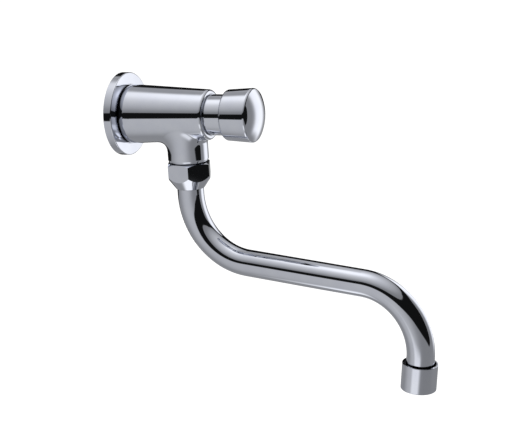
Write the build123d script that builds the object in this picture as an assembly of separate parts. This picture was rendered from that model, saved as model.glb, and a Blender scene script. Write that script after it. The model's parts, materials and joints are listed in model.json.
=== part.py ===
"""Self-closing wall tap with a push button and a swivelling S spout.

Frame: the origin is the centre of the wall flange's back face, on the axis of the inlet.
+Z is up, -Y points out of the wall and +Y goes into it. Lengths are in millimetres.
Every turned piece is drawn as (radius, place along its own axis) and revolved.
"""
from build123d import *
from math import asin, cos, radians, sin, sqrt, tan
import os

# Clearances
running_gap = 0.06      # shaft in its guide
thread_gap = 0.08       # screwed or slipped-in pieces of one body
ring_gap = 0.03         # O-ring and its groove or bore
loose_gap = 0.35        # pieces that pass each other without guiding
face_gap = 0.1          # flat faces that turn past each other
run_out = 1.0           # how far a cutting shape runs past the face it opens

# Wall flange and its gasket
flange_r = 30.0
flange_thickness = 6.1
flange_wall = 2.5
flange_rim = 2.6
flange_edge_round = 0.7
gasket_bore_r = 13.0

# Inlet spigot, G1/2
inlet_thread_r = 10.48
inlet_thread_length = 10.5
inlet_collar_r = 11.0
inlet_bore_r = 7.5
inlet_chamber_r = 9.0
inlet_chamber_length = 16.5
thread_end_chamfer = 1.0

# Dirt strainer in the spigot
strainer_length = 4.0
strainer_wall = 0.8
strainer_inset = 0.5
strainer_hole_r = 0.75
strainer_pitch = 2.4

# Barrel of the casting
barrel_length = 70.9
barrel_rear_r = 21.3
barrel_front_r = 17.95
shoulder_length = 5.0
shoulder_round = 8.4
front_edge_round = 2.4
water_jacket_r = 15.3
water_jacket_length = 25.7

# Outlet neck, with a G3/4 thread for the union nut
neck_set_back = 5.65     # from the neck's front to the barrel's front
neck_r = 14.75
neck_length = 34.4
neck_bevel = 1.0
neck_bevel_height = 2.2
neck_flare_start = 27.0
neck_flare_end = 7.0
neck_flare_r = 80.0
neck_lean_start = 22.5
neck_lean_end = 5.6
neck_lean = 34.0
neck_fillet = 2.8
outlet_thread_r = 13.22
outlet_thread_length = 10.6
outlet_way_r = 7.5
swivel_bore_r = 11.0
swivel_bore_depth = 17.5

# Bonnet, screwed into the barrel
bonnet_r = 14.57
bonnet_recess = 2.0
bonnet_gasket_thickness = 1.6
bonnet_thread_r = 13.5
bonnet_skirt_length = 11.4
bonnet_skirt_bore_r = 12.2
bonnet_chamber_depth = 6.5
bonnet_web = 15.0
bonnet_nose_depth = 11.5
spring_pocket_r = 11.4
bonnet_edge_round = 0.8
stem_ring_section_r = 1.05
stem_ring_inset = 5.0

# Cartridge: sleeve, seat and timing piston
sleeve_length = 35.5
sleeve_bore_r = 9.6
sleeve_waist_r = 11.3
sleeve_collar_r = 12.9
sleeve_collar_length = 5.0
sleeve_port_r = 2.2
sleeve_ring_section_r = 0.6
seat_r = 11.0
seat_thickness = 3.2
seat_bore_r = 5.2
seat_lip_height = 0.7
seat_lip_width = 0.8
seat_boss_r = 8.8
seat_boss_height = 0.7
seat_gasket_thickness = 0.8
piston_length = 8.0
piston_inset = 7.0
piston_shoulder_depth = 4.5
lip_seal_groove_r = 7.6
lip_seal_width = 3.0
lip_seal_inset = 2.0
lip_seal_wall = 0.6
bleed_slot_width = 0.8
bleed_slot_depth = 0.4
clip_r = 5.4
clip_thickness = 1.1
clip_groove_depth = 0.4
clip_mouth = 4.0

# Stem, seat washer and its holder
stem_r = 4.0
stem_waist_r = 3.0
stem_tail_r = 2.5
stem_tail_spare = 1.4
seat_washer_r = 7.1
seat_washer_thickness = 3.0
holder_wall = 0.5
holder_floor = 2.5
holder_depth = 1.7
washer_nut_flats = 8.0
washer_nut_thickness = 3.0

# Push button
button_travel = 8.0
button_stand_off = 12.65
button_rear_r = 18.0
button_front_r = 19.25
button_rear_round = 2.0
button_side_length = 20.35
button_dome_height = 5.35
button_edge_round = 2.0
button_lip = 2.4
button_wall = 2.2
button_roof_thickness = 6.2
button_boss_r = 7.0
button_thread_depth = 1.4
lock_nut_flats = 13.0
lock_nut_thickness = 4.0

# Return spring
spring_mean_r = 9.3
spring_wire_r = 0.75
spring_turns = 5

# Union nut
nut_flats = 29.5
nut_turn = 22.0
nut_top_chamfer_angle = 30.0
nut_cone_angle = 35.5
nut_foot_wall = 0.4
nut_length = 18.9

# Swivel joint of the spout
collar_top_gap = 1.0
collar_bore_r = 7.6
collar_socket_depth = 5.1
collar_flange_r = 12.9
collar_flange_thickness = 1.5
swivel_ring_thickness = 1.1
swivel_ring_r = 13.2
spout_ring_section_r = 1.1
spout_ring_pitch = 4.6
spout_ring_inset = 3.8

# Bent spout
tube_r = 9.65
tube_wall = 1.0
spout_turn = -8.7
drop_to_bend = 57.75
bend_1_r = 48.2
bend_1_angle = 86.7
arm_length = 93.2
bend_2_r = 43.9
bend_2_angle = 92.9
tip_length = 11.15

# Nozzle and aerator at the tip, M22 x 1
nozzle_thread_r = 10.95
nozzle_length = 7.2
nozzle_lip_r = 8.0
nozzle_lip_thickness = 1.6
aerator_r = 12.25
aerator_overlap = 2.15
aerator_length = 18.7
aerator_cup_wall = 1.75
aerator_mouth_lip = 1.3
aerator_mouth_r = 9.5
aerator_edge_round = 0.6
aerator_seal_thickness = 1.1
aerator_seal_bore_r = 8.4
insert_wall = 1.0
insert_plate = 1.2
jet_count = 12
jet_r = 0.6
jet_circle_r = 6.6
screen_thickness = 0.4
screen_mesh = 1.5
screen_bar = 0.5
grid_thickness = 2.2
grid_cell_flats = 2.2
grid_bar = 0.45
grid_rim = 0.7


def frame_at(origin, along, side=(1, 0, 0)):
    """Frame of a turned piece: its local Z runs along the given direction."""
    return Plane(origin=origin, x_dir=side, z_dir=along)


def section(*corners):
    """Closed outline in the XZ plane from (radius, place) or (radius, place, rounding) corners."""
    face = make_face(Polyline(*[(corner[0], corner[1]) for corner in corners], close=True))
    for corner in corners:
        if len(corner) == 3:
            vertex = face.vertices().sort_by_distance((corner[0], corner[1], 0))[0]
            face = fillet(vertex, corner[2])
    return Plane.XZ * face


def turned(frame, *corners):
    """Solid of revolution about the frame's Z axis."""
    return frame * revolve(section(*corners), axis=Axis.Z)


def ring(frame, inner_r, outer_r, start, end):
    """Plain washer or tube between two places on the axis."""
    return turned(frame, (inner_r, start), (outer_r, start), (outer_r, end), (inner_r, end))


def rod(frame, radius, start, end):
    """Plain cylinder between two places on the axis."""
    return frame * (Pos(0, 0, (start + end) / 2) * Cylinder(radius, abs(end - start)))


def o_ring(frame, middle_r, section_r, place):
    """O-ring in a groove."""
    return frame * (Pos(0, 0, place) * Torus(middle_r, section_r))


def hexagon(frame, flats, start, end, turn=0):
    """Hexagonal bar between two places on the axis."""
    outline = Rot(0, 0, turn) * RegularPolygon(radius=flats / sqrt(3), side_count=6)
    return frame * (Pos(0, 0, start) * extrude(outline, amount=end - start))


def hex_nut(frame, flats, bore_r, start, end):
    """Hexagon nut with a plain bore."""
    return hexagon(frame, flats, start, end) - rod(frame, bore_r, start - run_out, end + run_out)


def staggered_points(pitch, limit_r):
    """Points of a triangular pattern within a radius."""
    count = int(limit_r / pitch) + 1
    points = []
    for row in range(-count, count + 1):
        for column in range(-2 * count, 2 * count + 1):
            x = pitch * (column + row / 2)
            y = pitch * row * sqrt(3) / 2
            if sqrt(x * x + y * y) <= limit_r:
                points.append((x, y))
    return points


# Axes of the turned pieces
neck_axis_d = barrel_length - neck_set_back - neck_r
barrel_axis = frame_at((0, 0, 0), (0, -1, 0))
neck_axis = frame_at((0, -neck_axis_d, 0), (0, 0, -1))

# Places along the barrel's axis, counted out from the wall
bonnet_seat = barrel_length - bonnet_recess
bonnet_gasket_seat = bonnet_seat - bonnet_gasket_thickness
bonnet_rear = bonnet_seat - bonnet_skirt_length
chamber_front = bonnet_rear + bonnet_chamber_depth
spring_floor = chamber_front + bonnet_web
bonnet_nose = spring_floor + bonnet_nose_depth
sleeve_rear = chamber_front - sleeve_length
seat_front = sleeve_rear
seat_rear = seat_front - seat_thickness
seat_step = seat_rear - seat_gasket_thickness
seat_lip = seat_rear - seat_boss_height - seat_lip_height
inlet_step = seat_step - inlet_chamber_length
piston_front = chamber_front - piston_inset
piston_rear = piston_front - piston_length
stem_shoulder = piston_front - piston_shoulder_depth
button_rear = barrel_length + button_stand_off
button_side_front = button_rear + button_side_length
button_roof = button_side_front + button_dome_height - button_roof_thickness
button_boss_rear = spring_floor + button_travel + face_gap + lock_nut_thickness

# Places along the neck's axis, counted down from the barrel's axis
thread_bottom = neck_length + outlet_thread_length
swivel_step = thread_bottom - swivel_bore_depth
collar_top = swivel_step + collar_top_gap
collar_flange_top = thread_bottom + face_gap
collar_bottom = collar_flange_top + collar_flange_thickness
tube_top = collar_bottom - collar_socket_depth
swivel_ring_top = collar_bottom + face_gap
nut_shoulder = swivel_ring_top + swivel_ring_thickness
nut_top = neck_length + face_gap
nut_bottom = nut_top + nut_length

# The spout lies in an upright plane that is turned about the neck's axis
spout_out = Vector(sin(radians(spout_turn)), -cos(radians(spout_turn)), 0)
spout_plane = Plane(origin=(0, -neck_axis_d, 0), x_dir=spout_out, z_dir=spout_out.cross(Vector(0, 0, -1)))
drop_line = Line((0, tube_top), (0, drop_to_bend))
bend_1 = JernArc(drop_line @ 1, drop_line % 1, bend_1_r, -bend_1_angle)
arm_line = Line(bend_1 @ 1, bend_1 @ 1 + (bend_1 % 1) * arm_length)
bend_2 = JernArc(arm_line @ 1, arm_line % 1, bend_2_r, bend_2_angle)
tip_line = Line(bend_2 @ 1, bend_2 @ 1 + (bend_2 % 1) * tip_length)
spout_path = Wire([spout_plane.from_local_coords(edge) for edge in
                   (drop_line.edge(), bend_1.edge(), arm_line.edge(), bend_2.edge(), tip_line.edge())])
tip_axis = frame_at(spout_path @ 1, spout_path % 1, spout_plane.z_dir)

# Places along the tip's axis, counted on from the end of the tube
nozzle_top = nozzle_lip_thickness - nozzle_length
nozzle_bottom = nozzle_lip_thickness
aerator_top = nozzle_top - aerator_overlap
aerator_bottom = aerator_top + aerator_length
aerator_ledge = nozzle_bottom + aerator_seal_thickness
aerator_floor = aerator_bottom - aerator_mouth_lip
aerator_inside_r = aerator_r - aerator_cup_wall


def barrel_outline():
    """Outline of the tapered barrel with its rounded shoulder against the flange."""
    shoulder_place = flange_thickness + shoulder_length
    slope = (barrel_rear_r - barrel_front_r) / (barrel_length - shoulder_place)
    turn_in = asin(shoulder_length / shoulder_round - slope)
    turn_mid = (turn_in - slope) / 2
    centre_r = barrel_rear_r - shoulder_round * sqrt(1 - slope * slope)
    centre_place = shoulder_place - shoulder_round * slope

    def on_shoulder(angle):
        return (centre_r + shoulder_round * cos(angle), centre_place - shoulder_round * sin(angle))

    shoulder_end = on_shoulder(turn_in)
    shoulder = ThreePointArc(on_shoulder(-slope), on_shoulder(turn_mid), shoulder_end)
    side = Line((barrel_front_r, barrel_length), on_shoulder(-slope))
    rest = Polyline(shoulder_end, (0, shoulder_end[1]), (0, barrel_length), (barrel_front_r, barrel_length))
    face = make_face([side.edge(), shoulder.edge(), *rest.edges()])
    corner = face.vertices().sort_by_distance((barrel_front_r, barrel_length, 0))[0]
    return Plane.XZ * fillet(corner, front_edge_round)


def neck_flare():
    """Bell round the top of the neck. It widens along an arc, and closes with a cone inside the barrel."""

    def on_flare(depth):
        return (neck_r + neck_flare_r - sqrt(neck_flare_r ** 2 - (neck_flare_start - depth) ** 2), depth)

    foot = on_flare(neck_flare_start)
    mouth = on_flare(neck_flare_end)
    arc = ThreePointArc(foot, on_flare((neck_flare_start + neck_flare_end) / 2), mouth)
    rest = Polyline(mouth, (0, 0), (0, neck_flare_start), foot)
    face = make_face([arc.edge(), *rest.edges()])
    return neck_axis * revolve(Plane.XZ * face, axis=Axis.Z)


def faucet_body():
    """Casting: tapered barrel, outlet neck that flares into it, inlet spigot and water ways."""
    barrel = barrel_axis * revolve(barrel_outline(), axis=Axis.Z)
    neck = rod(neck_axis, neck_r, 0, neck_length) + neck_flare()
    lean = radians(neck_lean)
    leaning_axis = frame_at((0, -neck_axis_d, -neck_lean_start), (0, sin(lean), cos(lean)))
    neck += rod(leaning_axis, neck_r, 0, (neck_lean_start - neck_lean_end) / cos(lean))
    body = barrel + neck
    seam = [edge for edge in body.edges().filter_by(GeomType.BSPLINE)
            if -neck_lean_start - neck_r < edge.center().Z < -neck_r / 2]
    body = fillet(seam, neck_fillet)
    bevel = turned(neck_axis, (neck_r - neck_bevel, neck_length), (neck_r, neck_length - neck_bevel_height),
                   (neck_r + run_out, neck_length - neck_bevel_height), (neck_r + run_out, neck_length))
    body -= bevel
    body += turned(neck_axis, (0, neck_length - neck_bevel), (outlet_thread_r, neck_length - neck_bevel),
                   (outlet_thread_r, thread_bottom - thread_end_chamfer),
                   (outlet_thread_r - thread_end_chamfer, thread_bottom), (0, thread_bottom))
    barrel_overlap = flange_thickness + run_out
    body += turned(barrel_axis, (0, -inlet_thread_length),
                   (inlet_thread_r - thread_end_chamfer, -inlet_thread_length),
                   (inlet_thread_r, thread_end_chamfer - inlet_thread_length), (inlet_thread_r, 0),
                   (inlet_collar_r, 0), (inlet_collar_r, barrel_overlap), (0, barrel_overlap))
    jacket_rear = sleeve_rear + sleeve_collar_length
    sleeve_seat_r = sleeve_collar_r + thread_gap
    body -= turned(
        barrel_axis, (0, -inlet_thread_length - run_out), (inlet_bore_r, -inlet_thread_length - run_out),
        (inlet_bore_r, inlet_step), (inlet_chamber_r, inlet_step), (inlet_chamber_r, seat_step),
        (seat_r + thread_gap, seat_step), (seat_r + thread_gap, seat_front), (sleeve_seat_r, seat_front),
        (sleeve_seat_r, jacket_rear), (water_jacket_r, jacket_rear),
        (water_jacket_r, jacket_rear + water_jacket_length),
        (bonnet_thread_r + thread_gap, jacket_rear + water_jacket_length),
        (bonnet_thread_r + thread_gap, bonnet_gasket_seat), (bonnet_r + thread_gap, bonnet_gasket_seat),
        (bonnet_r + thread_gap, barrel_length + run_out), (0, barrel_length + run_out))
    body -= rod(neck_axis, outlet_way_r, 0, swivel_step + run_out)
    body -= rod(neck_axis, swivel_bore_r, swivel_step, thread_bottom + run_out)
    return body


def wall_flange():
    """Round flange, hollow at the back, that covers the hole in the wall."""
    recess_r = flange_r - flange_rim
    floor = flange_thickness - flange_wall
    bore_r = inlet_collar_r + loose_gap
    return turned(barrel_axis, (bore_r, floor), (recess_r, floor), (recess_r, 0),
                  (flange_r, 0, flange_edge_round / 2), (flange_r, flange_thickness, flange_edge_round),
                  (bore_r, flange_thickness))


def flange_gasket():
    outer_r = flange_r - flange_rim - thread_gap
    return ring(barrel_axis, gasket_bore_r, outer_r, 0, flange_thickness - flange_wall)


def inlet_strainer():
    """Cup with a perforated floor, pressed into the mouth of the spigot."""
    start = strainer_inset - inlet_thread_length
    outer_r = inlet_bore_r - thread_gap
    inner_r = outer_r - strainer_wall
    floor = start + strainer_length - strainer_wall
    cup = turned(barrel_axis, (inner_r, start), (outer_r, start), (outer_r, start + strainer_length),
                 (0, start + strainer_length), (0, floor), (inner_r, floor))
    for x, y in staggered_points(strainer_pitch, inner_r - strainer_hole_r - strainer_wall / 2):
        cup -= rod(barrel_axis * Pos(x, y), strainer_hole_r, floor - run_out, floor + strainer_wall + run_out)
    return cup


def valve_seat():
    """Seat ring with a raised lip towards the inlet."""
    boss_face = seat_rear - seat_boss_height
    lip_inner_r = seat_bore_r + seat_lip_width
    lip_outer_r = lip_inner_r + seat_lip_width
    return turned(barrel_axis, (seat_bore_r, boss_face), (lip_inner_r, seat_lip), (lip_outer_r, seat_lip),
                  (lip_outer_r, boss_face), (seat_boss_r, boss_face), (seat_boss_r, seat_rear),
                  (seat_r, seat_rear), (seat_r, seat_front), (seat_bore_r, seat_front))


def seat_gasket():
    return ring(barrel_axis, inlet_chamber_r, seat_r, seat_step, seat_rear)


def cartridge_sleeve():
    """Cylinder of the timing piston, with ports behind the piston."""
    front_collar_r = bonnet_skirt_bore_r - thread_gap
    ring_place = chamber_front - bonnet_chamber_depth / 2
    groove_half = sleeve_ring_section_r + ring_gap
    groove_r = front_collar_r + thread_gap - ring_gap - 2 * sleeve_ring_section_r - ring_gap
    collar_front = sleeve_rear + sleeve_collar_length
    sleeve = turned(
        barrel_axis, (sleeve_bore_r, sleeve_rear), (sleeve_collar_r, sleeve_rear),
        (sleeve_collar_r, collar_front), (sleeve_waist_r, collar_front), (sleeve_waist_r, bonnet_rear),
        (front_collar_r, bonnet_rear), (front_collar_r, ring_place - groove_half),
        (groove_r, ring_place - groove_half), (groove_r, ring_place + groove_half),
        (front_collar_r, ring_place + groove_half), (front_collar_r, chamber_front),
        (sleeve_bore_r, chamber_front))
    port_place = collar_front + sleeve_port_r + loose_gap
    for angle in (0, 90):
        port = Pos(0, 0, port_place) * Rot(90, 0, angle) * Cylinder(sleeve_port_r, 2 * sleeve_collar_r)
        sleeve -= barrel_axis * port
    return sleeve


def sleeve_seal():
    middle_r = bonnet_skirt_bore_r - ring_gap - sleeve_ring_section_r
    return o_ring(barrel_axis, middle_r, sleeve_ring_section_r, chamber_front - bonnet_chamber_depth / 2)


def bonnet():
    """Screwed cover that guides the stem and carries the spring. Its collar shows behind the button."""
    guide_r = stem_r + running_gap
    groove_r = guide_r + 2 * stem_ring_section_r + ring_gap
    groove_place = chamber_front + stem_ring_inset
    groove_half = stem_ring_section_r + ring_gap
    return turned(
        barrel_axis, (bonnet_skirt_bore_r, bonnet_rear), (bonnet_thread_r, bonnet_rear),
        (bonnet_thread_r, bonnet_seat), (bonnet_r, bonnet_seat), (bonnet_r, bonnet_nose, bonnet_edge_round),
        (spring_pocket_r, bonnet_nose), (spring_pocket_r, spring_floor), (guide_r, spring_floor),
        (guide_r, groove_place + groove_half), (groove_r, groove_place + groove_half),
        (groove_r, groove_place - groove_half), (guide_r, groove_place - groove_half),
        (guide_r, chamber_front), (bonnet_skirt_bore_r, chamber_front))


def bonnet_gasket():
    return ring(barrel_axis, bonnet_thread_r + thread_gap, bonnet_r, bonnet_gasket_seat, bonnet_seat)


def stem_seal():
    middle_r = stem_r + running_gap + stem_ring_section_r
    return o_ring(barrel_axis, middle_r, stem_ring_section_r, chamber_front + stem_ring_inset)


def valve_stem():
    """Stepped stem from the seat washer's nut to the button."""
    tail = seat_lip - seat_washer_thickness - holder_floor - washer_nut_thickness - stem_tail_spare
    clip_groove_r = stem_waist_r - clip_groove_depth
    clip_rear = piston_rear - clip_thickness
    tip = button_roof + button_thread_depth - loose_gap
    return turned(
        barrel_axis, (0, tail), (stem_tail_r, tail), (stem_tail_r, seat_lip), (stem_waist_r, seat_lip),
        (stem_waist_r, clip_rear), (clip_groove_r, clip_rear), (clip_groove_r, piston_rear),
        (stem_waist_r, piston_rear), (stem_waist_r, stem_shoulder), (stem_r, stem_shoulder),
        (stem_r, tip), (0, tip))


def timing_piston():
    """Piston against the stem's shoulder, with a groove for its cup seal and a fine bleed slot."""
    outer_r = sleeve_bore_r - running_gap
    groove_rear = piston_rear + lip_seal_inset
    groove_front = groove_rear + lip_seal_width
    piston = turned(
        barrel_axis, (stem_waist_r + thread_gap, piston_rear), (outer_r, piston_rear),
        (outer_r, groove_rear), (lip_seal_groove_r, groove_rear), (lip_seal_groove_r, groove_front),
        (outer_r, groove_front), (outer_r, piston_front), (stem_r + thread_gap, piston_front),
        (stem_r + thread_gap, stem_shoulder), (stem_waist_r + thread_gap, stem_shoulder))
    slot = Box(bleed_slot_width, 2 * bleed_slot_depth, 2 * piston_length)
    return piston - barrel_axis * (Pos(0, outer_r, piston_rear) * slot)


def lip_seal():
    """Cup seal with an inner and an outer lip towards the timing chamber."""
    rear = piston_rear + lip_seal_inset + ring_gap
    front = rear + lip_seal_width - 2 * ring_gap
    floor = rear + lip_seal_width / 3
    inner_r = lip_seal_groove_r + ring_gap
    outer_r = sleeve_bore_r - ring_gap
    return turned(barrel_axis, (inner_r, rear), (outer_r, rear), (outer_r, front),
                  (outer_r - lip_seal_wall, front), ((inner_r + outer_r) / 2, floor),
                  (inner_r + lip_seal_wall, front), (inner_r, front))


def piston_clip():
    """Open retaining ring in the stem's groove."""
    inner_r = stem_waist_r - clip_groove_depth + ring_gap
    clip = ring(barrel_axis, inner_r, clip_r, piston_rear - clip_thickness, piston_rear)
    mouth = Box(clip_mouth, clip_r, 2 * clip_thickness + run_out,
                align=(Align.CENTER, Align.MIN, Align.CENTER))
    return clip - barrel_axis * (Pos(0, 0, piston_rear) * mouth)


def seat_washer():
    bore_r = stem_tail_r + thread_gap
    return ring(barrel_axis, bore_r, seat_washer_r, seat_lip - seat_washer_thickness, seat_lip)


def washer_holder():
    """Shallow cup behind the seat washer."""
    floor = seat_lip - seat_washer_thickness
    inner_r = seat_washer_r + ring_gap
    return turned(barrel_axis, (stem_tail_r + thread_gap, floor - holder_floor),
                  (inner_r + holder_wall, floor - holder_floor), (inner_r + holder_wall, floor + holder_depth),
                  (inner_r, floor + holder_depth), (inner_r, floor), (stem_tail_r + thread_gap, floor))


def washer_nut():
    end = seat_lip - seat_washer_thickness - holder_floor
    return hex_nut(barrel_axis, washer_nut_flats, stem_tail_r + thread_gap, end - washer_nut_thickness, end)


def push_button():
    """Hollow conical button with a domed face and a threaded boss for the stem."""
    dome_r = (button_front_r ** 2 + button_dome_height ** 2) / (2 * button_dome_height)
    apex = button_side_front + button_dome_height
    centre = apex - dome_r
    half_angle = asin(button_front_r / dome_r) / 2
    mid = (dome_r * sin(half_angle), centre + dome_r * cos(half_angle))
    bore_r = bonnet_r + loose_gap
    inner_r = button_rear_r - button_wall
    lip_front = button_rear + button_lip
    boss_bore_r = stem_r + thread_gap
    dome = ThreePointArc((button_front_r, button_side_front), mid, (0, apex))
    rest = Polyline(
        (0, apex), (0, button_roof + button_thread_depth), (boss_bore_r, button_roof + button_thread_depth),
        (boss_bore_r, button_boss_rear), (button_boss_r, button_boss_rear), (button_boss_r, button_roof),
        (inner_r, button_roof), (inner_r, lip_front + inner_r - bore_r), (bore_r, lip_front),
        (bore_r, button_rear), (button_rear_r, button_rear), (button_front_r, button_side_front))
    face = make_face([dome.edge(), *rest.edges()])
    rear_corner = face.vertices().sort_by_distance((button_rear_r, button_rear, 0))[0]
    face = fillet(rear_corner, button_rear_round)
    front_corner = face.vertices().sort_by_distance((button_front_r, button_side_front, 0))[0]
    face = fillet(front_corner, button_edge_round)
    return barrel_axis * revolve(Plane.XZ * face, axis=Axis.Z)


def button_lock_nut():
    return hex_nut(barrel_axis, lock_nut_flats, stem_r + thread_gap,
                   button_boss_rear - lock_nut_thickness, button_boss_rear)


def return_spring():
    """Wire spring between the bonnet's pocket and the button's roof."""
    height = button_roof - spring_floor - 2 * spring_wire_r
    coil = Helix(pitch=height / spring_turns, height=height, radius=spring_mean_r)
    wire = Plane(origin=coil @ 0, z_dir=coil % 0) * Circle(spring_wire_r)
    return barrel_axis * (Pos(0, 0, spring_floor + spring_wire_r) * sweep(wire, path=coil))


def union_nut():
    """Hexagon nut whose foot narrows in a cone to the tube."""
    foot_bore_r = tube_r + loose_gap
    foot_r = foot_bore_r + nut_foot_wall
    corner_r = nut_flats / sqrt(3)
    chamfer_height = (corner_r - nut_flats / 2) * tan(radians(nut_top_chamfer_angle))
    cone_height = (corner_r - foot_r) / tan(radians(nut_cone_angle))
    envelope = turned(neck_axis, (0, nut_top), (nut_flats / 2, nut_top), (corner_r, nut_top + chamfer_height),
                      (corner_r, nut_bottom - cone_height), (foot_r, nut_bottom), (0, nut_bottom))
    nut = hexagon(neck_axis, nut_flats, nut_top, nut_bottom, -nut_turn) & envelope
    nut -= rod(neck_axis, outlet_thread_r + thread_gap, nut_top - run_out, nut_shoulder)
    return nut - rod(neck_axis, foot_bore_r, nut_shoulder - run_out, nut_bottom + run_out)


def swivel_ring():
    return ring(neck_axis, tube_r + loose_gap, swivel_ring_r, swivel_ring_top, nut_shoulder)


def spout_ring_places():
    return [collar_top + spout_ring_inset + spout_ring_pitch * number for number in range(2)]


def spout_collar():
    """Swivel collar with two O-ring grooves, a thrust flange and a socket for the tube."""
    outer_r = swivel_bore_r - thread_gap
    groove_r = swivel_bore_r - ring_gap - 2 * spout_ring_section_r - ring_gap
    groove_half = spout_ring_section_r + ring_gap
    collar = turned(
        neck_axis, (collar_bore_r, collar_top), (outer_r, collar_top), (outer_r, collar_flange_top),
        (collar_flange_r, collar_flange_top), (collar_flange_r, collar_bottom),
        (tube_r + ring_gap, collar_bottom), (tube_r + ring_gap, tube_top), (collar_bore_r, tube_top))
    for place in spout_ring_places():
        collar -= ring(neck_axis, groove_r, swivel_bore_r, place - groove_half, place + groove_half)
    return collar


def spout_o_rings():
    middle_r = swivel_bore_r - ring_gap - spout_ring_section_r
    return Compound([o_ring(neck_axis, middle_r, spout_ring_section_r, place).solid()
                     for place in spout_ring_places()])


def spout_tube():
    """Tube bent to an S, from the swivel collar to the aerator."""
    start = Plane(origin=spout_path @ 0, x_dir=spout_plane.z_dir, z_dir=spout_path % 0)
    tube_section = Circle(tube_r) - Circle(tube_r - tube_wall)
    return sweep(start * tube_section, path=spout_path)


def outlet_nozzle():
    """Threaded ring brazed on the tube, with a lip under the tube's end."""
    socket_r = tube_r + ring_gap
    return turned(tip_axis, (socket_r, nozzle_top), (nozzle_thread_r, nozzle_top),
                  (nozzle_thread_r, nozzle_bottom), (nozzle_lip_r, nozzle_bottom), (nozzle_lip_r, 0), (socket_r, 0))


def aerator_housing():
    """Turned cup with a ledge for the seal and a lip round its mouth."""
    thread_r = nozzle_thread_r + thread_gap
    return turned(
        tip_axis, (thread_r, aerator_top), (aerator_r, aerator_top, aerator_edge_round / 2),
        (aerator_r, aerator_bottom, aerator_edge_round), (aerator_mouth_r, aerator_bottom),
        (aerator_mouth_r, aerator_floor), (aerator_inside_r, aerator_floor),
        (aerator_inside_r, aerator_ledge), (thread_r, aerator_ledge))


def aerator_seal():
    return ring(tip_axis, aerator_seal_bore_r, nozzle_thread_r, nozzle_bottom, aerator_ledge)


def aerator_insert():
    """Plastic cup with a ring of jets in its top plate."""
    outer_r = aerator_inside_r - thread_gap
    inner_r = outer_r - insert_wall
    plate = aerator_ledge + insert_plate
    cup = turned(tip_axis, (0, aerator_ledge), (outer_r, aerator_ledge), (outer_r, aerator_floor),
                 (inner_r, aerator_floor), (inner_r, plate), (0, plate))
    for place in PolarLocations(jet_circle_r, jet_count):
        cup -= rod(tip_axis * place, jet_r, aerator_ledge - run_out, plate + run_out)
    return cup


def insert_inside_r():
    return aerator_inside_r - thread_gap - insert_wall


def aerator_screen():
    """Square-holed sheet that lies on the honeycomb."""
    outer_r = insert_inside_r() - ring_gap
    cell = screen_mesh + screen_bar
    count = int(outer_r / cell)
    mesh = Circle(outer_r)
    for row in range(-count, count + 1):
        for column in range(-count, count + 1):
            x, y = row * cell, column * cell
            if sqrt(x * x + y * y) + screen_mesh / sqrt(2) < outer_r - screen_bar:
                mesh -= Pos(x, y) * Rectangle(screen_mesh, screen_mesh)
    start = aerator_floor - grid_thickness - screen_thickness
    return tip_axis * (Pos(0, 0, start) * extrude(mesh, amount=screen_thickness))


def stream_grid():
    """Honeycomb that straightens the stream, standing on the lip of the mouth."""
    outer_r = insert_inside_r() - ring_gap
    cell_r = grid_cell_flats / sqrt(3)
    comb = Circle(outer_r)
    for x, y in staggered_points(grid_cell_flats + grid_bar, outer_r - grid_rim - cell_r):
        comb -= Pos(x, y) * Rot(0, 0, 30) * RegularPolygon(radius=cell_r, side_count=6)
    return tip_axis * (Pos(0, 0, aerator_floor - grid_thickness) * extrude(comb, amount=grid_thickness))


makers = [
    faucet_body, wall_flange, flange_gasket, inlet_strainer, valve_seat, seat_gasket, cartridge_sleeve,
    sleeve_seal, bonnet, bonnet_gasket, stem_seal, union_nut, swivel_ring, push_button, button_lock_nut,
    return_spring, valve_stem, timing_piston, lip_seal, piston_clip, washer_holder, seat_washer, washer_nut,
    spout_collar, spout_o_rings, spout_tube, outlet_nozzle, aerator_housing, aerator_seal, aerator_insert,
    aerator_screen, stream_grid,
]

os.makedirs("parts", exist_ok=True)
for maker in makers:
    export_step(maker(), f"parts/{maker.__name__}.step")
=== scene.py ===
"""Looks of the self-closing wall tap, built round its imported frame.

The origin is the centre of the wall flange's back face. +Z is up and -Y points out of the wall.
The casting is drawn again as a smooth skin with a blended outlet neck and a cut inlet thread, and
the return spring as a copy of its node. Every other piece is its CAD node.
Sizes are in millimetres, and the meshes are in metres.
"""

import json
import math

import bmesh
import bpy
from mathutils import Matrix, Vector


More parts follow.
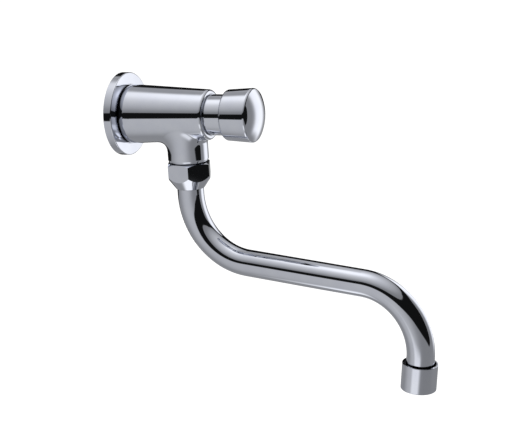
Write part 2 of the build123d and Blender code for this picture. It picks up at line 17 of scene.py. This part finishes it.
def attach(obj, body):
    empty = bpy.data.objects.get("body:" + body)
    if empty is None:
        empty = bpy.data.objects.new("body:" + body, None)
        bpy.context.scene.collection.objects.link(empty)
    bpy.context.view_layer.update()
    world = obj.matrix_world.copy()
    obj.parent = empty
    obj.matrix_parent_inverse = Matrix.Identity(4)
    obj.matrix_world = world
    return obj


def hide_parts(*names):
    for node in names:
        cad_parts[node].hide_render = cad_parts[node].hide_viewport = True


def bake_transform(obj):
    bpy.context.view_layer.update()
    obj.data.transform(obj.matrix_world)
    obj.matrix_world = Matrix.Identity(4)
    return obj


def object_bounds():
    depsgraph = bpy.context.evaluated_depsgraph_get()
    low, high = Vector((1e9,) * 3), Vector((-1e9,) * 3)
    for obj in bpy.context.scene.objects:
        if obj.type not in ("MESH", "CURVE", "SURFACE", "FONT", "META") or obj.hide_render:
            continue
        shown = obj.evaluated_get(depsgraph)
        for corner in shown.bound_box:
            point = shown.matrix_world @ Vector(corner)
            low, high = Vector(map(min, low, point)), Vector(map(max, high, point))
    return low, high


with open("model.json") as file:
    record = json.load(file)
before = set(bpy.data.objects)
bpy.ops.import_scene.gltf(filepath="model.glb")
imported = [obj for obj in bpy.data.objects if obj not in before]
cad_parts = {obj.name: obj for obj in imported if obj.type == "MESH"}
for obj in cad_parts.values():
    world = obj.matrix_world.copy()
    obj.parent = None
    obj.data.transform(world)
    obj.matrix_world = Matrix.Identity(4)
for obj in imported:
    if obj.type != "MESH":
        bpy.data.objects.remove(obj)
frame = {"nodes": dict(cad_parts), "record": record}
cad_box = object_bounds()

mm = 0.001

# Casting: barrel
shoulder_place = 11.1        # where the barrel is widest, from the wall
shoulder_round = 8.4
shoulder_drop = 5.0
barrel_length = 70.9
barrel_rear_r = 21.3
barrel_front_r = 17.95
front_edge_round = 2.4

# Casting: outlet neck
neck_place = 50.5
neck_r = 14.75
neck_length = 34.4
neck_bevel = 1.0
neck_bevel_height = 2.2
flare_front = 17.35          # reach of the neck's flare on the barrel, from the neck's axis
flare_side = 16.9
flare_rear = 23.5
flare_front_depth = 21.5     # where the flare leaves the neck
flare_rear_depth = 27.0
flare_fullness = 0.62
outlet_thread_r = 13.22
outlet_thread_length = 10.6
thread_end_chamfer = 1.0

# Casting: inlet spigot with its G1/2 thread
collar_r = 11.0
spigot_r = 10.48
spigot_length = 10.5
thread_pitch = 1.814
thread_depth = 1.16
thread_run_out = 1.6
thread_lead_in = 1.0
thread_flat = 0.12           # share of the profile that is flat at the root, and again at the crest

# Casting: water ways, as (radius, distance from the wall)
jacket_front = 59.2
water_way = [
    (7.5, -12.0), (7.5, 8.0), (9.0, 8.0), (9.0, 24.5), (11.08, 24.5), (11.08, 28.5), (12.98, 28.5),
    (12.98, 33.5), (15.3, 33.5), (15.3, jacket_front), (13.58, jacket_front), (13.58, 67.3),
    (14.65, 67.3), (14.65, 72.0),
]
outlet_way = [(7.5, 0.0), (7.5, 27.5), (11.0, 27.5), (11.0, 46.0)]

# Fineness of the casting's skin
around_side = 60             # cells over the barrel's upper side
across_patch = 96            # cells across the patch round the neck
along_patch = 72             # cells along the patch round the neck
patch_reach = math.radians(100)
patch_rings = 22
patch_crowding = 1.5         # above 1, the patch's rings crowd towards the flare
flare_steps = 28
neck_rings = 14
thread_rings = 14            # for each turn of the thread
crease_angle = 32            # degrees from which an edge of the casting looks sharp


# Mesh helpers

class Skin:
    """Collects grids of points into one mesh. Points that fall together are merged at the end."""

    def __init__(self):
        self.points = []
        self.faces = []

    def grid(self, rows, closed=False):
        """Rows of points of equal length, joined into quads. A closed grid joins each row's ends."""
        start = len(self.points)
        width = len(rows[0])
        for row in rows:
            self.points.extend(tuple(float(value) for value in point) for point in row)
        cells = width if closed else width - 1
        for r in range(len(rows) - 1):
            for c in range(cells):
                a = start + r * width + c
                b = start + r * width + (c + 1) % width
                self.faces.append((a, b, b + width, a + width))

    def mesh(self, name, merge=1e-3):
        data = bpy.data.meshes.new(name)
        data.from_pydata([Vector(point) * mm for point in self.points], [], self.faces)
        edit = bmesh.new()
        edit.from_mesh(data)
        bmesh.ops.remove_doubles(edit, verts=edit.verts, dist=merge * mm)
        rims = [edge for edge in edit.edges if edge.is_boundary]
        bmesh.ops.holes_fill(edit, edges=rims, sides=0)
        bmesh.ops.dissolve_degenerate(edit, dist=merge * mm, edges=edit.edges)
        bmesh.ops.recalc_face_normals(edit, faces=edit.faces)
        edit.to_mesh(data)
        edit.free()
        return data


def barrel_point(radius, place, angle):
    """Point round the barrel's axis. The angle starts at the bottom."""
    return (radius * math.sin(angle), -place, -radius * math.cos(angle))


def neck_point(radius, depth, angle):
    """Point round the neck's axis. The angle starts at the front."""
    return (radius * math.sin(angle), -neck_place - radius * math.cos(angle), -depth)


def turned(outline, place_point, segments=128):
    """Closed solid of revolution through (radius, place) points, capped flat at both ends."""
    skin = Skin()
    angles = [2 * math.pi * number / segments for number in range(segments)]
    skin.grid([[place_point(radius, place, angle) for angle in angles] for radius, place in outline],
              closed=True)
    return skin.mesh("turned")


def linked(name, data):
    obj = bpy.data.objects.new(name, data)
    bpy.context.scene.collection.objects.link(obj)
    return obj


def cut(obj, data):
    """Takes a closed mesh out of an object."""
    tool = linked("cutter", data)
    modifier = obj.modifiers.new("cut", "BOOLEAN")
    modifier.operation = "DIFFERENCE"
    modifier.solver = "EXACT"
    modifier.object = tool
    bpy.context.view_layer.update()
    result = bpy.data.meshes.new_from_object(obj.evaluated_get(bpy.context.evaluated_depsgraph_get()))
    obj.modifiers.clear()
    obj.data = result
    bpy.data.objects.remove(tool)


def smooth(data, sharp_from):
    data.polygons.foreach_set("use_smooth", [True] * len(data.polygons))
    data.set_sharp_from_angle(angle=math.radians(sharp_from))


# Casting

slope = (barrel_rear_r - barrel_front_r) / (barrel_length - shoulder_place)
tilt = math.atan(slope)
side_start = shoulder_place
edge_centre_place = barrel_length - front_edge_round
side_end = edge_centre_place + front_edge_round * math.sin(tilt)


def side_r(place):
    """Radius of the barrel's tapered side."""
    return barrel_rear_r - slope * (place - shoulder_place)


def shoulder_points(count=18):
    """The rounded shoulder, from the flange up to the tapered side."""
    centre_place = side_start - shoulder_round * math.sin(tilt)
    centre_r = side_r(side_start) - shoulder_round * math.cos(tilt)
    turn_in = math.asin(min(1.0, shoulder_drop / shoulder_round - slope))
    points = []
    for number in range(count + 1):
        angle = turn_in + (-tilt - turn_in) * number / count
        radius = centre_r + shoulder_round * math.cos(angle)
        points.append((radius, centre_place - shoulder_round * math.sin(angle)))
    return points


def front_edge_points(count=10):
    """The rounded edge between the tapered side and the front face."""
    centre_r = side_r(side_end) - front_edge_round * math.cos(tilt)
    points = []
    for number in range(count + 1):
        angle = tilt + (math.pi / 2 - tilt) * number / count
        radius = centre_r + front_edge_round * math.cos(angle)
        points.append((radius, edge_centre_place + front_edge_round * math.sin(angle)))
    return points


def flare_reach(angle):
    """Distance from the neck's axis at which the flare meets the barrel, at an angle from the front."""
    along = flare_front if math.cos(angle) > 0 else flare_rear
    return 1 / math.hypot(math.cos(angle) / along, math.sin(angle) / flare_side)


def flare_depth(angle):
    """Depth at which the flare leaves the neck, at an angle from the front."""
    share = min(1.0, 1 - math.cos(angle))
    return flare_front_depth + (flare_rear_depth - flare_front_depth) * share * share * (3 - 2 * share)


def barrel_depth(reach, angle):
    """Depth of the barrel's side below its axis, at a distance from the neck's axis."""
    radius = side_r(neck_place + reach * math.cos(angle))
    return math.sqrt(radius ** 2 - (reach * math.sin(angle)) ** 2)


def flare_arc(angle):
    """Curve that leaves the barrel's side and runs on to the neck, flush with both at its ends."""
    reach = flare_reach(angle)
    depth = barrel_depth(reach, angle)
    step = 0.01
    rise = (barrel_depth(reach + step, angle) - barrel_depth(reach - step, angle)) / (2 * step)
    first = Vector((reach, depth))
    last = Vector((neck_r, flare_depth(angle)))
    corner = Vector((neck_r, depth + rise * (neck_r - reach)))
    second = first + (corner - first) * flare_fullness
    third = last + (corner - last) * flare_fullness
    points = []
    for number in range(flare_steps + 1):
        share = number / flare_steps
        rest = 1 - share
        point = first * rest ** 3 + second * 3 * rest ** 2 * share
        point += third * 3 * rest * share ** 2
        point += last * share ** 3
        points.append(Vector(neck_point(point.x, point.y, angle)))
    return points


def patch_border():
    """Corner-to-corner border of the patch round the neck, as (angle, place) on the barrel's side."""
    angles = [patch_reach * (2 * number / across_patch - 1) for number in range(across_patch + 1)]
    side_length = side_end - side_start
    places = [side_start + side_length * number / along_patch for number in range(along_patch + 1)]
    border = [(angle, side_end) for angle in angles]
    border += [(patch_reach, place) for place in reversed(places[:-1])]
    border += [(angle, side_start) for angle in reversed(angles[:-1])]
    border += [(-patch_reach, place) for place in places[1:-1]]
    return border, angles, places


def casting_skin():
    skin = Skin()
    border, angles, places = patch_border()
    arcs = []
    for angle, place in border:
        arcs.append(flare_arc(math.atan2(angle * side_r(neck_place), place - neck_place)))
    # the barrel's side round the neck, from the border in to the flare
    rings = []
    for ring in range(patch_rings + 1):
        share = 1 - (1 - ring / patch_rings) ** patch_crowding
        row = []
        for (angle, place), arc in zip(border, arcs):
            foot = arc[0]
            foot_angle = math.atan2(foot.x, -foot.z)
            here_angle = angle + (foot_angle - angle) * share
            here_place = place + (-foot.y - place) * share
            row.append(barrel_point(side_r(here_place), here_place, here_angle))
        rings.append(row)
    skin.grid(rings, closed=True)
    # the flare and the neck
    skin.grid([[arc[step] for arc in arcs] for step in range(flare_steps + 1)], closed=True)
    feet = [arc[-1] for arc in arcs]
    bevel_depth = neck_length - neck_bevel_height
    rows = []
    for ring in range(neck_rings + 1):
        share = ring / neck_rings
        rows.append([(foot.x, foot.y, foot.z + (-bevel_depth - foot.z) * share) for foot in feet])
    turns = [math.atan2(foot.x, -foot.y - neck_place) for foot in feet]
    lower = [
        (neck_r - neck_bevel, neck_length), (outlet_thread_r, neck_length),
        (outlet_thread_r, neck_length + outlet_thread_length - thread_end_chamfer),
        (outlet_thread_r - thread_end_chamfer, neck_length + outlet_thread_length),
    ]
    rows += [[neck_point(radius, depth, turn) for turn in turns] for radius, depth in lower]
    skin.grid(rows, closed=True)
    # the rest of the barrel's side, over the top
    over_turn = 2 * math.pi - 2 * patch_reach
    over = [patch_reach + over_turn * number / around_side for number in range(around_side + 1)]
    skin.grid([[barrel_point(side_r(place), place, angle) for angle in over] for place in places])
    # shoulder, front edge and spigot all the way round, on the same division
    full = angles + over[1:-1]
    outline = shoulder_points()
    outline = [(collar_r, outline[0][1]), *outline]
    collar = [(collar_r, outline[0][1]), (collar_r, 0.0), (spigot_r, 0.0)]
    for profile in (outline, front_edge_points(), collar):
        rows = [[barrel_point(radius, place, angle) for angle in full] for radius, place in profile]
        skin.grid(rows, closed=True)
    rows = []
    count = int(spigot_length / thread_pitch * thread_rings)
    for number in range(count + 1):
        depth = spigot_length * number / count
        rows.append([barrel_point(thread_radius(depth, angle), -depth, angle) for angle in full])
    skin.grid(rows, closed=True)
    return skin.mesh("casting")


def thread_radius(depth, angle):
    """Radius of the spigot's thread at a depth into the wall."""
    phase = (depth / thread_pitch + angle / (2 * math.pi)) % 1.0
    ridge = abs(2 * phase - 1)
    rounded = min(max((ridge - thread_flat) / (1 - 2 * thread_flat), 0.0), 1.0)
    fade = min(1.0, depth / thread_run_out)
    radius = spigot_r - thread_depth * fade * (1 - rounded)
    lead_in = spigot_r - max(0.0, depth - (spigot_length - thread_lead_in))
    return min(radius, lead_in)


def build_casting():
    obj = linked("casting", casting_skin())
    cut(obj, turned(water_way, barrel_point))
    cut(obj, turned(outlet_way, neck_point))
    smooth(obj.data, crease_angle)
    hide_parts("faucet_body")
    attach(obj, "valve_body")
    return obj


def build_spring():
    """The return spring, as a copy of its node, with the node's material.
    """
    mesh = frame["nodes"]["return_spring"].data.copy()
    coil = linked("spring_coil", mesh)
    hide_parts("return_spring")
    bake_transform(coil)


# Materials

# Painted shade: an ambient-occlusion node darkens the base colour in narrow gaps and corners between
# pieces, standing in for the shade that falls there.
crevice_reach = 2.4
painted_shade_colour = (0.02, 0.02, 0.028)
crevice_samples = 8
crevice_open = (0.35, 0.85)  # openness at which the shade is full, and at which it ends
noise_detail = 3
tint_span = (0.35, 0.65)     # values of the noise between which one tint turns into the other


class Nodes:
    """Short way to write a node tree."""

    def __init__(self, tree):
        self.tree = tree
        tree.nodes.clear()

    def add(self, kind, **values):
        node = self.tree.nodes.new(kind)
        for name, value in values.items():
            setattr(node, name, value)
        return node

    def link(self, output, socket):
        self.tree.links.new(output, socket)

    def math(self, operation, first, second=None, third=None):
        node = self.add("ShaderNodeMath", operation=operation)
        for socket, value in zip(node.inputs, (first, second, third)):
            if value is None:
                continue
            if isinstance(value, (int, float)):
                socket.default_value = value
            else:
                self.link(value, socket)
        return node.outputs[0]


def painted_crevice_shade(nodes, colour):
    """The colour with painted shade, darker in the narrow gaps and corners between pieces."""
    closeness = nodes.add("ShaderNodeAmbientOcclusion")
    closeness.samples = crevice_samples
    closeness.inputs["Distance"].default_value = crevice_reach * mm
    openness = nodes.add("ShaderNodeMapRange", interpolation_type="SMOOTHSTEP")
    openness.inputs["From Min"].default_value = crevice_open[0]
    openness.inputs["From Max"].default_value = crevice_open[1]
    nodes.link(closeness.outputs["AO"], openness.inputs["Value"])
    shade = nodes.add("ShaderNodeMix", data_type="RGBA")
    shade.inputs[6].default_value = (*painted_shade_colour, 1)
    nodes.link(openness.outputs["Result"], shade.inputs[0])
    nodes.link(colour, shade.inputs[7])
    return shade.outputs[2]


def surface(name, tint, other_tint, metallic, rough, rough_spread, grain, grain_depth, stretch=(1, 1, 1)):
    """Principled material whose colour, roughness and fine relief come from noise in object space."""
    material = bpy.data.materials.new(name)
    material.use_nodes = True
    nodes = Nodes(material.node_tree)
    output = nodes.add("ShaderNodeOutputMaterial")
    shader = nodes.add("ShaderNodeBsdfPrincipled")
    shader.inputs["Metallic"].default_value = metallic
    place = nodes.add("ShaderNodeTexCoord")
    mapping = nodes.add("ShaderNodeMapping")
    mapping.inputs["Scale"].default_value = stretch
    nodes.link(place.outputs["Object"], mapping.inputs["Vector"])
    noise = nodes.add("ShaderNodeTexNoise")
    noise.inputs["Scale"].default_value = 1 / (grain * mm)
    noise.inputs["Detail"].default_value = noise_detail
    nodes.link(mapping.outputs["Vector"], noise.inputs["Vector"])
    colours = nodes.add("ShaderNodeValToRGB")
    colours.color_ramp.elements[0].position = tint_span[0]
    colours.color_ramp.elements[0].color = (*tint, 1)
    colours.color_ramp.elements[1].position = tint_span[1]
    colours.color_ramp.elements[1].color = (*other_tint, 1)
    nodes.link(noise.outputs["Fac"], colours.inputs["Fac"])
    # the base colour carries painted shade in narrow gaps and corners
    nodes.link(painted_crevice_shade(nodes, colours.outputs["Color"]), shader.inputs["Base Color"])
    spread = nodes.add("ShaderNodeMapRange")
    spread.inputs["To Min"].default_value = rough - rough_spread
    spread.inputs["To Max"].default_value = rough + rough_spread
    nodes.link(noise.outputs["Fac"], spread.inputs["Value"])
    nodes.link(spread.outputs["Result"], shader.inputs["Roughness"])
    bump = nodes.add("ShaderNodeBump")
    bump.inputs["Strength"].default_value = 1.0
    bump.inputs["Distance"].default_value = grain_depth * mm
    nodes.link(noise.outputs["Fac"], bump.inputs["Height"])
    nodes.link(bump.outputs["Normal"], shader.inputs["Normal"])
    nodes.link(shader.outputs["BSDF"], output.inputs["Surface"])
    return material


def make_materials():
    """Materials by slot: two tints, metallic, roughness and its spread, grain size and depth, stretch."""
    looks = {
        "polished_chrome": ((0.71, 0.735, 0.82), (0.74, 0.765, 0.84), 1.0, 0.035, 0.012, 9.0, 0.004),
        "turned_brass": ((0.74, 0.55, 0.26), (0.82, 0.64, 0.33), 1.0, 0.28, 0.06, 0.6, 0.01, (1, 9, 9)),
        "stainless_steel": ((0.56, 0.56, 0.55), (0.66, 0.66, 0.65), 1.0, 0.26, 0.06, 0.5, 0.008, (1, 9, 1)),
        "black_rubber": ((0.018, 0.018, 0.018), (0.03, 0.03, 0.03), 0.0, 0.62, 0.08, 0.8, 0.02),
        "red_fibre": ((0.34, 0.08, 0.06), (0.46, 0.13, 0.10), 0.0, 0.8, 0.08, 0.35, 0.04),
        "white_plastic": ((0.80, 0.80, 0.78), (0.86, 0.86, 0.84), 0.0, 0.36, 0.05, 2.0, 0.01),
    }
    return {slot: surface(slot, *look) for slot, look in looks.items()}


def dress(materials):
    """Gives each CAD node the material of its slot in the record."""
    for part in frame["record"]["subparts"]:
        node = frame["nodes"][part["node"]]
        node.data.materials.clear()
        node.data.materials.append(materials[part["material_slot"]])


# Studio

photo_width = 520
focal_px = 1404.0
sensor_width = 36.0
camera_place = (-0.8921, -0.4921, 0.1630)
camera_right = (0.38592, -0.92085, -0.05588)
camera_up = (0.24256, 0.04284, 0.96922)
camera_back = (-0.89009, -0.38758, 0.23989)
nearest_seen = 0.02
furthest_seen = 60
world_light = 0.75           # strength at which the white world lights the part; it is seen at 1
floor_drop = 0.42
floor_size = 28.0
floor_grey = (0.86, 0.86, 0.86)
floor_lift = 0.45            # glow of the floor that only the camera sees
lamp_place = (-1.2, -1.0, 2.2)
lamp_size = 2.4
lamp_power = 26
dome_r = 0.5
dome_place = (0.0, -0.10, -0.05)
chrome_tone = 0.78           # share of the light that the chrome gives back
tone_power = 2.2             # turns an sRGB tone into light
full_turn = 360.0
half_turn = 180.0


def make_camera():
    data = bpy.data.cameras.new("camera")
    data.sensor_width = sensor_width
    data.lens = sensor_width * focal_px / photo_width
    data.clip_start = nearest_seen
    data.clip_end = furthest_seen
    camera = bpy.data.objects.new("camera", data)
    bpy.context.scene.collection.objects.link(camera)
    turn = Matrix((camera_right, camera_up, camera_back)).transposed()
    camera.matrix_world = Matrix.Translation(camera_place) @ turn.to_4x4()
    bpy.context.scene.camera = camera


def seen_directly(nodes):
    """1 for the rays by which the camera sees the background, straight or in metal and glass."""
    path = nodes.add("ShaderNodeLightPath")
    seen = nodes.math("MAXIMUM", path.outputs["Is Camera Ray"], path.outputs["Is Glossy Ray"])
    return nodes.math("MAXIMUM", seen, path.outputs["Is Transmission Ray"])


def make_world():
    world = bpy.data.worlds.new("studio")
    bpy.context.scene.world = world
    world.use_nodes = True
    nodes = Nodes(world.node_tree)
    output = nodes.add("ShaderNodeOutputWorld")
    background = nodes.add("ShaderNodeBackground")
    background.inputs["Color"].default_value = (1, 1, 1, 1)
    strength = nodes.math("MULTIPLY_ADD", seen_directly(nodes), 1 - world_light, world_light)
    nodes.link(strength, background.inputs["Strength"])
    nodes.link(background.outputs["Background"], output.inputs["Surface"])


def make_floor():
    low = cad_box[0].z - floor_drop
    half = floor_size / 2
    data = bpy.data.meshes.new("floor")
    corners = [(-half, -half, low), (half, -half, low), (half, half, low), (-half, half, low)]
    data.from_pydata(corners, [], [(0, 1, 2, 3)])
    floor = linked("floor", data)
    material = bpy.data.materials.new("floor")
    material.use_nodes = True
    nodes = Nodes(material.node_tree)
    output = nodes.add("ShaderNodeOutputMaterial")
    paint = nodes.add("ShaderNodeBsdfDiffuse")
    paint.inputs["Color"].default_value = (*floor_grey, 1)
    glow = nodes.add("ShaderNodeEmission")
    glow.inputs["Color"].default_value = (1, 1, 1, 1)
    path = nodes.add("ShaderNodeLightPath")
    lift = nodes.math("MULTIPLY", path.outputs["Is Camera Ray"], floor_lift)
    nodes.link(lift, glow.inputs["Strength"])
    both = nodes.add("ShaderNodeAddShader")
    nodes.link(paint.outputs["BSDF"], both.inputs[0])
    nodes.link(glow.outputs["Emission"], both.inputs[1])
    nodes.link(both.outputs["Shader"], output.inputs["Surface"])
    data.materials.append(material)
    floor.visible_glossy = False


def make_lamp():
    data = bpy.data.lights.new("softbox", "AREA")
    data.shape = "DISK"
    data.size = lamp_size
    data.energy = lamp_power
    lamp = bpy.data.objects.new("softbox", data)
    bpy.context.scene.collection.objects.link(lamp)
    place = Vector(lamp_place)
    lamp.location = place
    lamp.rotation_mode = "QUATERNION"
    lamp.rotation_quaternion = (-place).to_track_quat("-Z", "Y")
    lamp.visible_glossy = False


# What the chrome reflects, painted on a near dome that only reflections see. Tones are in sRGB, and
# directions are seen from the dome's centre: azimuth 0 is straight out of the wall, and -90 is the -X
# side, on which the camera stands. A dark gap runs all round between the ceiling and the floor.
ceiling_lamp = (180, 75)     # azimuth and elevation of the ceiling's brightest place
ceiling_tones = [            # by the distance from there in degrees
    (0, 1.0), (10, 0.95), (25, 0.80), (50, 0.62), (65, 0.48), (90, 0.45),
]
gap_tone = 0.095
gap_softness = 3.0           # degrees over which its edges fade
gap_top = [
    (-180, 18), (-165, 5), (-150, 6), (-135, 11), (-120, 17), (-105, 22), (-90, 24), (-75, 25), (-60, 27),
    (-45, 31), (-30, 36), (-15, 40), (0, 43), (15, 43), (30, 42), (60, 40), (75, 38), (90, 36), (105, 33),
    (135, 42), (150, 36), (180, 18),
]
gap_bottom = [
    (-180, -8), (-165, -5), (-150, -3), (-135, -3), (-120, -2), (-105, 2), (-90, 3), (-75, 3), (-60, 2),
    (-45, -3), (-30, -8), (-15, -13), (0, -18), (10, -14), (18, 26), (30, 30), (60, 33), (75, 30), (86, 20),
    (96, -3), (120, -8), (130, -26), (140, -28), (150, -17), (165, -12), (180, -8),
]
floor_tones = [              # brighter on the left, with a window on the right
    (-180, 0.52), (-110, 0.68), (-30, 0.48), (25, 0.50), (48, 0.95), (66, 0.98), (90, 0.54), (180, 0.52),
]
# Soft patches over it: centre and half width in azimuth, soft edge, the same in elevation, and tone
patches = [
    (140, 20, 26, 52, 12, 12, 0.57),        # darker end of the ceiling, behind
    (50, 45, 20, -48, 22, 14, 0.50),        # floor below the window
    (104, 6, 4, -48, 14, 6, 0.86),          # bright strip on the floor, behind on the right
    (-84, 24, 20, -38, 11, 12, 0.86),       # bright place on the floor, on the left
    (-120, 60, 30, -80, 16, 14, 0.97),      # and straight below
]


def curve(nodes, value, points, low, high):
    """Height of a line through the points over a value, both in their own units."""
    left, right = points[0][0], points[-1][0]
    share = nodes.math("DIVIDE", nodes.math("SUBTRACT", value, float(left)), float(right - left))
    node = nodes.add("ShaderNodeFloatCurve")
    line = node.mapping.curves[0]
    line.points[0].location = (0.0, (points[0][1] - low) / (high - low))
    line.points[1].location = (1.0, (points[-1][1] - low) / (high - low))
    for place, height in points[1:-1]:
        line.points.new((place - left) / (right - left), (height - low) / (high - low))
    for point in line.points:
        point.handle_type = "AUTO_CLAMPED"
    node.mapping.update()
    nodes.link(share, node.inputs["Value"])
    return nodes.math("MULTIPLY_ADD", node.outputs[0], float(high - low), float(low))


def step_up(nodes, value, soft):
    """0 below zero and 1 above it, with a soft edge."""
    edge = nodes.add("ShaderNodeMapRange", interpolation_type="SMOOTHSTEP")
    edge.inputs["From Min"].default_value = -soft / 2
    edge.inputs["From Max"].default_value = soft / 2
    nodes.link(value, edge.inputs["Value"])
    return edge.outputs["Result"]


def mixed(nodes, weight, under, over):
    """Tone between two others. Each is a number or a socket."""
    mix = nodes.add("ShaderNodeMix", data_type="FLOAT")
    nodes.link(weight, mix.inputs[0])
    for socket, tone in ((mix.inputs[2], under), (mix.inputs[3], over)):
        if isinstance(tone, float):
            socket.default_value = tone
        else:
            nodes.link(tone, socket)
    return mix.outputs[0]


def paint_dome(nodes):
    """Emission whose strength follows the ceiling, the gap, the floor and the patches."""
    place = nodes.add("ShaderNodeTexCoord")
    unit = nodes.add("ShaderNodeVectorMath", operation="NORMALIZE")
    nodes.link(place.outputs["Object"], unit.inputs[0])
    axes = nodes.add("ShaderNodeSeparateXYZ")
    nodes.link(unit.outputs["Vector"], axes.inputs[0])
    x, y, z = axes.outputs
    azimuth = nodes.math("DEGREES", nodes.math("ARCTAN2", x, nodes.math("MULTIPLY", y, -1.0)))
    elevation = nodes.math("DEGREES", nodes.math("ARCSINE", z))
    lamp_azimuth, lamp_elevation = (math.radians(value) for value in ceiling_lamp)
    lamp = nodes.add("ShaderNodeVectorMath", operation="DOT_PRODUCT")
    nodes.link(unit.outputs["Vector"], lamp.inputs[0])
    lamp.inputs[1].default_value = (
        math.cos(lamp_elevation) * math.sin(lamp_azimuth),
        -math.cos(lamp_elevation) * math.cos(lamp_azimuth),
        math.sin(lamp_elevation),
    )
    away = nodes.math("DEGREES", nodes.math("ARCCOSINE", lamp.outputs["Value"]))
    ceiling = curve(nodes, away, ceiling_tones, 0, 1)
    top = curve(nodes, azimuth, gap_top, -90, 90)
    bottom = curve(nodes, azimuth, gap_bottom, -90, 90)
    above = step_up(nodes, nodes.math("SUBTRACT", elevation, top), gap_softness)
    below = step_up(nodes, nodes.math("SUBTRACT", bottom, elevation), gap_softness)
    tone = mixed(nodes, above, gap_tone, ceiling)
    tone = mixed(nodes, below, tone, curve(nodes, azimuth, floor_tones, 0, 1))
    for centre_a, half_a, soft_a, centre_e, half_e, soft_e, value in patches:
        shift = nodes.math("ADD", azimuth, full_turn + half_turn - centre_a)
        turn = nodes.math("MODULO", shift, full_turn)
        away_a = nodes.math("ABSOLUTE", nodes.math("SUBTRACT", turn, half_turn))
        away_e = nodes.math("ABSOLUTE", nodes.math("SUBTRACT", elevation, float(centre_e)))
        within_a = step_up(nodes, nodes.math("SUBTRACT", float(half_a), away_a), soft_a)
        within_e = step_up(nodes, nodes.math("SUBTRACT", float(half_e), away_e), soft_e)
        tone = mixed(nodes, nodes.math("MULTIPLY", within_a, within_e), tone, value)
    light = nodes.math("POWER", tone, tone_power)
    return nodes.math("DIVIDE", light, chrome_tone)


def only_reflected(obj):
    """Hides a piece of the studio from all but reflections."""
    obj.visible_camera = False
    obj.visible_diffuse = False
    obj.visible_transmission = False
    obj.visible_shadow = False


def make_dome():
    data = bpy.data.meshes.new("dome")
    edit = bmesh.new()
    bmesh.ops.create_uvsphere(edit, u_segments=64, v_segments=32, radius=dome_r)
    edit.to_mesh(data)
    edit.free()
    dome = linked("dome", data)
    dome.location = dome_place
    material = bpy.data.materials.new("dome")
    material.use_nodes = True
    nodes = Nodes(material.node_tree)
    output = nodes.add("ShaderNodeOutputMaterial")
    glow = nodes.add("ShaderNodeEmission")
    nodes.link(paint_dome(nodes), glow.inputs["Strength"])
    nodes.link(glow.outputs["Emission"], output.inputs["Surface"])
    data.materials.append(material)
    only_reflected(dome)


# Scene

bpy.context.scene.view_settings.view_transform = "Standard"
made = make_materials()
dress(made)
casting = build_casting()
casting.data.materials.clear()
casting.data.materials.append(made["polished_chrome"])
build_spring()
make_camera()
make_world()
make_floor()
make_lamp()
make_dome()
